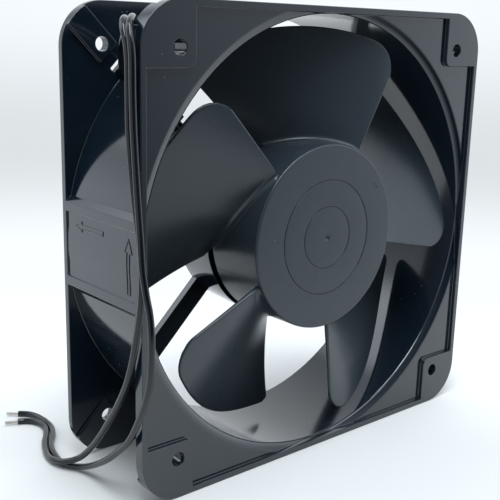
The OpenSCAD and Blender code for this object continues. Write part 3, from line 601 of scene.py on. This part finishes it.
def arrow(name, tail, tip, half, head, wing):
    """An outlined arrow on the panel, from tail to tip, given as (y, z) in millimetres."""
    a, b = Vector(tail), Vector(tip)
    ahead = (b - a).normalized()
    across = Vector((-ahead.y, ahead.x))
    neck = b - ahead * head
    corners = [a + across * half, neck + across * half, neck + across * wing, b]
    corners += [neck - across * wing, neck - across * half, a - across * half, a + across * half]
    lines = []
    for c, d in zip(corners, corners[1:]):
        lines.append([on_panel(*c.lerp(d, k / LINE_STEPS)) for k in range(LINE_STEPS + 1)])
    obj = tube(name, lines, LINE_D / 2 * MM, 2)
    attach(obj, "housing")
    return obj


arrows = [
    arrow("arrow_air", (-1.4, 9.1), (20.2, 9.0), 0.8, 5.2, 2.1),
    arrow("arrow_turn", (-20.0, -11.6), (-20.0, 10.6), 0.95, 5.6, 2.6),
]
print("arrows:", [o.name for o in arrows])

# %% [markdown]
# ## Finishes as expressions
#
# Every finish is a small tree of nodes with no picture in it. Nodes could be placed and linked one
# by one, but a sum would then fill a screen. `Sock` wraps one output of a tree instead, so that
# sums and products are written as plain Python and become Math nodes. `Tree` makes any other node
# with its `add` method: the settings first, then the values or links of its sockets.


# %% Node helpers
class Sock:
    """One output in a node tree; Python operators on it make Math nodes."""

    def __init__(self, tree, out):
        self.tree, self.out = tree, out

    def math(self, operation, *others):
        return self.tree.add("ShaderNodeMath", dict(enumerate((self, *others))), operation=operation)

    def __add__(self, other):
        return self.math("ADD", other)

    def __sub__(self, other):
        return self.math("SUBTRACT", other)

    def __rsub__(self, other):
        return self * -1 + other

    def __mul__(self, other):
        return self.math("MULTIPLY", other)

    def __pow__(self, other):
        return self.math("POWER", other)

    def __mod__(self, other):
        return self.math("FLOORED_MODULO", other)

    def __abs__(self):
        return self.math("ABSOLUTE")

    __radd__, __rmul__ = __add__, __mul__

    def over(self, low, high):
        """0 below low, 1 above high and smooth between."""
        inputs = {"Value": self, "From Min": low, "From Max": high}
        return self.tree.add("ShaderNodeMapRange", inputs, interpolation_type="SMOOTHSTEP")

    def within(self, middle, half, soft):
        """1 near a value, 0 away from it."""
        return 1 - abs(self - middle).over(half, half + soft)


class Tree:
    """A node tree of a material or of the world."""

    def __init__(self, node_tree):
        self.nodes, self.links = node_tree.nodes, node_tree.links

    def feed(self, socket, value):
        """Links an output to a socket, or sets the socket's constant."""
        if isinstance(value, Sock):
            self.links.new(value.out, socket)
        else:
            socket.default_value = value

    def add(self, kind, inputs=None, out=0, **settings):
        """Makes a node; returns one of its outputs, or the node itself for out=None."""
        node = self.nodes.new(kind)
        for key, value in settings.items():
            setattr(node, key, value)
        for key, value in (inputs or {}).items():
            self.feed(node.inputs[key], value)
        return node if out is None else Sock(self, node.outputs[out])

    def split(self, vector):
        """The three numbers of a vector."""
        node = self.add("ShaderNodeSeparateXYZ", {"Vector": vector}, out=None)
        return [Sock(self, out) for out in node.outputs]


print("node helpers ready")

# %% [markdown]
# ### One finish, one object
#
# `Paint` is the tree of one material round a Principled shader. A pattern could lie on an unwrapped
# skin, but these pieces have none. So it is read from the piece's own position in metres, which
# needs no unwrapping, and the pattern turns with the piece that wears it.


# %% Paint
class Paint(Tree):
    """One procedural material with a Principled shader."""

    def __init__(self, name):
        self.material = bpy.data.materials.new(name)
        self.material.use_nodes = True
        super().__init__(self.material.node_tree)
        self.shader = self.nodes["Principled BSDF"]
        self.place = self.add("ShaderNodeTexCoord", out="Object")
        self.x, self.y, self.z = self.split(self.place)

    def from_axis(self):
        """Distance from the fan's axis."""
        return (self.x**2 + self.z**2).math("SQRT")

    def noise(self, scale, detail=2, roughness=0.5):
        """Soft noise about 0.5; the scale is in cells per metre."""
        inputs = {"Vector": self.place, "Scale": scale, "Detail": detail, "Roughness": roughness}
        return self.add("ShaderNodeTexNoise", inputs, out="Fac")

    def specks(self, scale, size, share):
        """Round specks in a share of random cells: 1 in a speck, 0 elsewhere."""
        cells = self.add("ShaderNodeTexVoronoi", {"Vector": self.place, "Scale": scale}, out=None)
        away, colour = (Sock(self, cells.outputs[name]) for name in ("Distance", "Color"))
        pick = self.add("ShaderNodeSeparateColor", {"Color": colour})
        return (1 - away.over(size * 0.6, size)) * pick.over(1 - share, 1 - share + 0.01)

    def blend(self, share, a, b):
        """Mixes two colours."""
        return self.add("ShaderNodeMix", {"Factor": share, 6: a, 7: b}, out=2, data_type="RGBA")

    def bump(self, height, distance):
        """Turns a height between 0 and 1 into a normal; the distance is in metres."""
        return self.add("ShaderNodeBump", {"Height": height, "Distance": distance}, out="Normal")

    def finish(self, **inputs):
        """Sets the shader's inputs, named with underscores for spaces."""
        for key, value in inputs.items():
            self.feed(self.shader.inputs[key.replace("_", " ")], value)
        return self.material


def grey(value, blue=1.06):
    """A neutral tone with a slightly cool cast."""
    return (value, value * 1.01, value * blue, 1)


looks = {}


def add_look(slot, material):
    """Keeps a finish under the name of its material slot."""
    looks[slot] = material
    print(f"{slot}: {len(material.node_tree.nodes)} nodes")


print("paint helper ready")

# %% [markdown]
# ### Black paint on the casting
#
# The casting wears a glossy black paint with a faint orange peel, a little unevenness in its gloss
# and a few pale dust specks. A plain dark shader would look like glass. Noise of several sizes
# breaks the reflections up just enough. The duct's parting line is a fine groove at one depth and
# one radius, so it is drawn in the finish and not cut into the mesh: a bump, a duller gloss and a
# darker colour that is painted shade in the groove.


# %% Frame paint
def frame_paint():
    m = Paint("frame_paint")
    peel = m.noise(900)
    grain = m.noise(5200)
    cloud = m.noise(22, 3)
    dust = m.specks(420, 0.16, 0.035)
    at_duct = m.from_axis().within(DUCT_R, 0.8 * MM, 0.4 * MM)
    # The parting groove is bumped in, and its darker colour is painted shade.
    parting_groove_shade = m.y.within(PARTING_Y, 0.12 * MM, 0.12 * MM) * at_duct
    base = m.blend(cloud, (0.004, 0.009, 0.015, 1), (0.006, 0.012, 0.020, 1))
    dusty = m.blend(0.5 * dust, base, grey(0.15))
    return m.finish(
        Base_Color=m.blend(parting_groove_shade, dusty, (0.001, 0.0015, 0.002, 1)),
        Roughness=0.08 + 0.04 * cloud + 0.02 * grain + 0.25 * dust + 0.3 * parting_groove_shade,
        IOR=1.7,
        Normal=m.bump(0.05 * peel + 0.008 * grain - parting_groove_shade, 0.12 * MM),
    )


add_look("frame_paint", frame_paint())

# %% [markdown]
# ### Black plastic of the impeller
#
# The moulding is duller and a little paler than the paint, with the fine grain of its mould. Thin
# seams run up the hub's side where the parts of the mould met, one for each blade, and hook at
# the top. Two small pits and one nib mark the hub's face. All of these could be modelled, but
# they are very shallow, so they are masks that change the colour, the gloss and the bump together.
# The dark colour of the seams and pits is painted shade.

# %% Impeller plastic
SEAM_ANGLE, HOOK_ANGLE = 200.2, 4.4
HOOK_FROM, HOOK_TO = 19, 26.5
PIT_SIZE, NIB_SIZE = 0.9, 0.45
PITS, NIB = ((29.2, 21.7), (30.7, 20.2)), (-31.8, 2.9)


def impeller_plastic():
    m = Paint("impeller_plastic")
    grain = m.noise(4200, 3, 0.6)
    cloud = m.noise(30, 3)
    dust = m.specks(300, 0.13, 0.03)
    height = m.y * -1
    turn = m.z.math("ARCTAN2", m.x) * (BLADES / math.tau)
    hook = height.over(HOOK_FROM * MM, HOOK_TO * MM)
    seam_at = (SEAM_ANGLE * BLADES / 360 - 0.5) % 1
    line = (turn - seam_at - HOOK_ANGLE * BLADES / 360 * hook * hook) % 1
    on_side = m.from_axis().within(HUB_R * MM, 0.3 * MM, 0.3 * MM)
    seam_groove_shade = line.within(0.5, 0.0014, 0.002) * on_side
    front = height.over((HUB_FRONT - 0.4) * MM, (HUB_FRONT - 0.2) * MM)

    def spot(place, size):
        """A round mark on the hub's face."""
        x, z = place
        away = ((m.x - x * MM) ** 2 + (m.z - z * MM) ** 2).math("SQRT")
        return front * (1 - away.over(0.5 * size * MM, size * MM))

    pits_with_shade = sum(spot(place, PIT_SIZE) for place in PITS)
    nib = spot(NIB, NIB_SIZE)
    base = m.blend(cloud, (0.023, 0.032, 0.041, 1), (0.029, 0.039, 0.049, 1))
    # The near-black colour of the seams and pits is painted shade in them.
    marks_painted_shade = m.blend((seam_groove_shade + 0.7 * pits_with_shade).math("MINIMUM", 1), base, (0.002, 0.003, 0.004, 1))
    return m.finish(
        Base_Color=m.blend((0.5 * dust + nib).math("MINIMUM", 1), marks_painted_shade, grey(0.15)),
        Roughness=0.22 + 0.06 * cloud + 0.06 * grain + 0.3 * (seam_groove_shade + pits_with_shade),
        Normal=m.bump(0.12 * grain - seam_groove_shade - 0.6 * pits_with_shade + nib, 0.1 * MM),
    )


add_look("impeller_plastic", impeller_plastic())

# %% [markdown]
# ### Other blacks
#
# The wires' insulation is drawn through a die, so it is smooth and shiny with hardly any texture.
# The strap, the grommet and the plug over the shaft's hole are dull moulded blacks. Each could
# have a tree of its own, but they differ only in tone and gloss, so one function makes them.


# %% Insulation, black plastic and rubber
def wire_skin():
    m = Paint("wire_insulation")
    fine = m.noise(2600)
    long = m.noise(60)
    return m.finish(
        Base_Color=m.blend(long, (0.003, 0.005, 0.007, 1), (0.005, 0.007, 0.010, 1)),
        Roughness=0.13 + 0.06 * fine,
        Normal=m.bump(fine, 0.006 * MM),
    )


def dull_black(name, tone, rough):
    m = Paint(name)
    fine = m.noise(1800, 3)
    return m.finish(
        Base_Color=m.blend(fine, grey(tone * 0.8), grey(tone * 1.3)),
        Roughness=rough + 0.2 * fine,
        Normal=m.bump(fine, 0.04 * MM),
    )


add_look("wire_insulation", wire_skin())
add_look("black_plastic", dull_black("black_plastic", 0.03, 0.35))
add_look("rubber", dull_black("rubber", 0.025, 0.6))

# %% [markdown]
# ### Metals
#
# Shaft, bearings, springs and pins are plain metals. A picture of brushed steel could be wrapped
# round them, but they are small and mostly hidden. One function gives each a tone, a gloss that
# changes a little from place to place, and a tint for brass and tinned copper.


# %% Metals
def metal(name, tone, rough, grain=1500, tint=(1, 1, 1)):
    m = Paint(name)
    fine = m.noise(grain, 3)
    cloud = m.noise(80)
    dark = (*(tone * 0.85 * t for t in tint), 1)
    pale = (*(tone * 1.1 * t for t in tint), 1)
    return m.finish(
        Base_Color=m.blend(cloud, dark, pale),
        Metallic=1,
        Roughness=rough + 0.15 * fine,
        Normal=m.bump(fine, 0.01 * MM),
    )


add_look("steel", metal("steel", 0.52, 0.26))
add_look("bearing_steel", metal("bearing_steel", 0.62, 0.12, 3000))
add_look("spring_steel", metal("spring_steel", 0.40, 0.3))
add_look("brass", metal("brass", 0.7, 0.25, 1500, (1, 0.75, 0.38)))
add_look("tinned_copper", metal("tinned_copper", 0.66, 0.3, 4000, (1, 0.93, 0.84)))
add_look("cast_aluminium", metal("cast_aluminium", 0.6, 0.38, 800))

# %% [markdown]
# ### Laminations and windings
#
# Inside the hub sits a shaded-pole motor. Its cores are stacks of thin steel sheets, and its coils
# are hundreds of turns of copper wire. Sheets and turns could be meshes, but they would be far too
# many. A position taken modulo the pitch gives the same stripes, along the axis for the sheets
# and across the radius for the turns. The dark between the sheets and between the turns is
# painted shade.

# %% Laminations and copper winding
SHEETS_PER_METRE, TURNS_PER_METRE = 2000, 3600


def laminations():
    m = Paint("laminations")
    # The gaps between the sheets are painted darker: painted shade between them.
    sheets_gap_shade = (m.y * SHEETS_PER_METRE % 1).within(0.5, 0.28, 0.14)
    rust = m.noise(300, 4).over(0.52, 0.8)
    shaded_sheets = m.blend(sheets_gap_shade, grey(0.16), grey(0.36))
    return m.finish(
        Base_Color=m.blend(rust * 0.5, shaded_sheets, (0.24, 0.13, 0.07, 1)),
        Metallic=0.8,
        Roughness=0.45 - 0.1 * sheets_gap_shade,
        Normal=m.bump(sheets_gap_shade, 0.06 * MM),
    )


def copper_winding():
    m = Paint("copper_winding")
    # The dark between the turns is painted shade between the round wires.
    turns_gap_shade = (m.from_axis() * TURNS_PER_METRE % 1).within(0.5, 0.2, 0.28)
    gloss = m.noise(500)
    return m.finish(
        Base_Color=m.blend(turns_gap_shade, (0.20, 0.055, 0.018, 1), (0.72, 0.29, 0.11, 1)),
        Metallic=0.9,
        Roughness=0.28 + 0.2 * gloss,
        Normal=m.bump(turns_gap_shade, 0.1 * MM),
    )


add_look("laminations", laminations())
add_look("copper", copper_winding())

# %% [markdown]
# ### Board and bobbins
#
# The coils are wound on pale nylon bobbins and end on a green glass-fibre board. The weave of the
# glass shows through the lacquer. It could be a picture, but the product of two sine waves, one
# along each direction of the cloth, is enough for a board that is hidden in the hub.

# %% Board and nylon
WEAVE = 1400


def board():
    m = Paint("board")
    weave = (m.x * WEAVE).math("SINE") * (m.z * WEAVE).math("SINE") * 0.5 + 0.5
    fine = m.noise(700, 3)
    cloth = weave * 0.6 + fine * 0.4
    return m.finish(
        Base_Color=m.blend(cloth, (0.018, 0.075, 0.035, 1), (0.035, 0.13, 0.06, 1)),
        Roughness=0.35 + 0.2 * fine,
        Normal=m.bump(weave, 0.02 * MM),
    )


def nylon():
    m = Paint("bobbin_nylon")
    fine = m.noise(900, 3)
    return m.finish(
        Base_Color=m.blend(fine, (0.62, 0.60, 0.54, 1), (0.74, 0.72, 0.66, 1)),
        Roughness=0.42 + 0.15 * fine,
        Normal=m.bump(fine, 0.03 * MM),
    )


add_look("board", board())
add_look("bobbin_nylon", nylon())

# %% [markdown]
# ### Dressing the pieces
#
# Finishes could be given one object at a time. The record already names a material slot for every
# CAD node, so each node takes the finish of its slot, and the new pieces are listed by finish.


# %% Assign
def wear(obj, slot):
    """Gives an object one finish."""
    obj.data.materials.clear()
    obj.data.materials.append(looks[slot])


slot_of = {part["node"]: part["material_slot"] for part in frame["record"]["subparts"]}
for name, node in nodes.items():
    wear(node, slot_of[name])
pieces = {
    "frame_paint": [casting, *arrows],
    "impeller_plastic": [impeller],
    "wire_insulation": wires,
    "tinned_copper": tips,
}
for slot, group in pieces.items():
    for obj in group:
        wear(obj, slot)
print("dressed:", len(nodes), "nodes and", sum(map(len, pieces.values())), "pieces")

# %% [markdown]
# ## The floor
#
# The fan stands on pale paper. A sheet that bends up into a wall would give a seamless background,
# but it would also stand in the way of views from other sides. So the paper is a flat disc that
# fades out at its rim and towards the wall, which leaves no horizon line. On the camera's side of
# the fan its colour is greyer, as painted shade where less light falls, and it is paler beyond it.

# %% Floor
FLOOR_Z, FLOOR_R, FLOOR_SIDES = -0.1, 1.4, 64
RIM_FADE, WALL_FADE, PALER = (0.14, 0.5), (0.09, 0.24), (-0.03, 0.08)
toward = Vector((math.sin(YAW), math.cos(YAW), 0))

ring = [math.tau * k / FLOOR_SIDES for k in range(FLOOR_SIDES)]
verts = [(FLOOR_R * math.cos(a), FLOOR_R * math.sin(a), FLOOR_Z) for a in ring]
floor = mesh_object("studio_floor", verts, [tuple(range(FLOOR_SIDES))])
paper = Paint("studio_paper")
fibre = paper.noise(400, 3)
reach = (paper.x**2 + paper.y**2).math("SQRT")
beyond = paper.x * toward.x + paper.y * toward.y
# The greyer paper on the camera's side is painted shade.
near_paper_shade = paper.blend(fibre, (0.75, 0.735, 0.725, 1), (0.78, 0.765, 0.755, 1))
floor.data.materials.append(
    paper.finish(
        Base_Color=paper.blend(beyond.over(*PALER), near_paper_shade, (0.90, 0.885, 0.875, 1)),
        Roughness=0.7 + 0.1 * fibre,
        Specular_IOR_Level=0.2,
        Alpha=(1 - reach.over(*RIM_FADE)) * (1 - beyond.over(*WALL_FADE)),
    )
)
print("floor disc:", FLOOR_R, "m")

# %% [markdown]
# ## The light tent
#
# A glossy black object is mostly what it reflects, so its surroundings are what shapes it. Lamps
# and cards could stand round the fan, but they would be seen from other sides. So the tent is in
# the world: a white wall behind the fan and soft bright patches in a darker room. A patch has a
# direction, given as an azimuth from the camera's line of sight and an elevation, a width and a
# glow. It is drawn from the angle between that direction and the one that is looked in.

# %% Tent helpers
world = bpy.data.worlds.new("tent")
scene.world = world
world.use_nodes = True
world.node_tree.nodes.clear()
tent = Tree(world.node_tree)
look = tent.add("ShaderNodeTexCoord", out="Generated")
sky_height = tent.split(look)[2]


def heading(azimuth, elevation):
    """A direction, from degrees to the right of the line of sight and degrees up."""
    a, e = math.radians(azimuth), math.radians(elevation)
    return (toward * math.cos(a) + level * math.sin(a)) * math.cos(e) + Vector((0, 0, math.sin(e)))


def patch(azimuth, elevation, core, rim):
    """1 within the core angle of a direction, fading to 0 at the rim angle."""
    inputs = {0: look, 1: heading(azimuth, elevation)}
    facing = tent.add("ShaderNodeVectorMath", inputs, out="Value", operation="DOT_PRODUCT")
    return facing.over(math.cos(math.radians(rim)), math.cos(math.radians(core)))


print("line of sight:", [round(v, 3) for v in heading(0, 0)])

# %% Wall and patches
PATCH_CORE = 8
PATCHES = {
    (-12, 28): [(-72, 0.35), (72, 0.45)],
    (-10, 35): [(-60, 0.48), (60, 0.20)],
    (5, 45): [(-135, 0.80), (-75, 0.45), (75, 0.80)],
    (35, 45): [(-120, 0.35), (-60, 0.40), (0, 0.21), (60, 0.88), (120, 0.25), (180, 0.15)],
    (43, 26): [(-74, 2.00)],
    (52, 22): [(112, 2.80)],
    (65, 40): [(-90, 0.15), (0, 0.50), (90, 0.30), (180, 0.10)],
}
glows = [
    glow * patch(azimuth, elevation, PATCH_CORE, rim)
    for (elevation, rim), row in PATCHES.items()
    for azimuth, glow in row
]
wall = 1.0 - 0.24 * sky_height.over(-0.24, -0.13) + 0.13 * sky_height.over(-0.11, 0.02)
backdrop = 1.05 * wall * patch(0, -8, 30, 65)
pale = tent.add("ShaderNodeBackground", {"Color": (0.92, 0.965, 1.0, 1), "Strength": backdrop})
cool = tent.add("ShaderNodeBackground", {"Color": (0.88, 0.965, 1.04, 1), "Strength": sum(glows)})
shine = tent.add("ShaderNodeAddShader", {0: pale, 1: cool})
tent.add("ShaderNodeOutputWorld", {"Surface": shine}, out=None)
print("tent patches:", len(glows))

# %% [markdown]
# ## The key lamp
#
# One bright rectangular lamp hangs high above the fan, a little towards the camera. The tent could
# hold it as one more patch, but then it would be no nearer than the sky and its shadow would be
# weak. Every rounded edge and lip mirrors the lamp somewhere, and those thin streaks make the
# paint look wet.

# %% Key lamp
LAMP_WIDE, LAMP_LONG, LAMP_AWAY = 0.34, 0.7, 0.9

key = bpy.data.lights.new("key_lamp", "AREA")
key.shape = "RECTANGLE"
key.size, key.size_y = LAMP_WIDE, LAMP_LONG
key.energy = 6.4
key.color = (0.86, 0.95, 1.0)
key_lamp = bpy.data.objects.new("key_lamp", key)
scene.collection.objects.link(key_lamp)
key_lamp.location = heading(180, 70) * LAMP_AWAY
key_lamp.rotation_euler = (-key_lamp.location).to_track_quat("-Z", "Y").to_euler()
print("key lamp at", [round(v, 2) for v in key_lamp.location])

# %% [markdown]
# ## The view transform
#
# The pieces of this lesson stand for CAD nodes, so they must not outgrow them. The plain
# Standard view keeps white paper white, where a film-like curve would grey it.

# %% Finish
scene.view_settings.view_transform = "Standard"
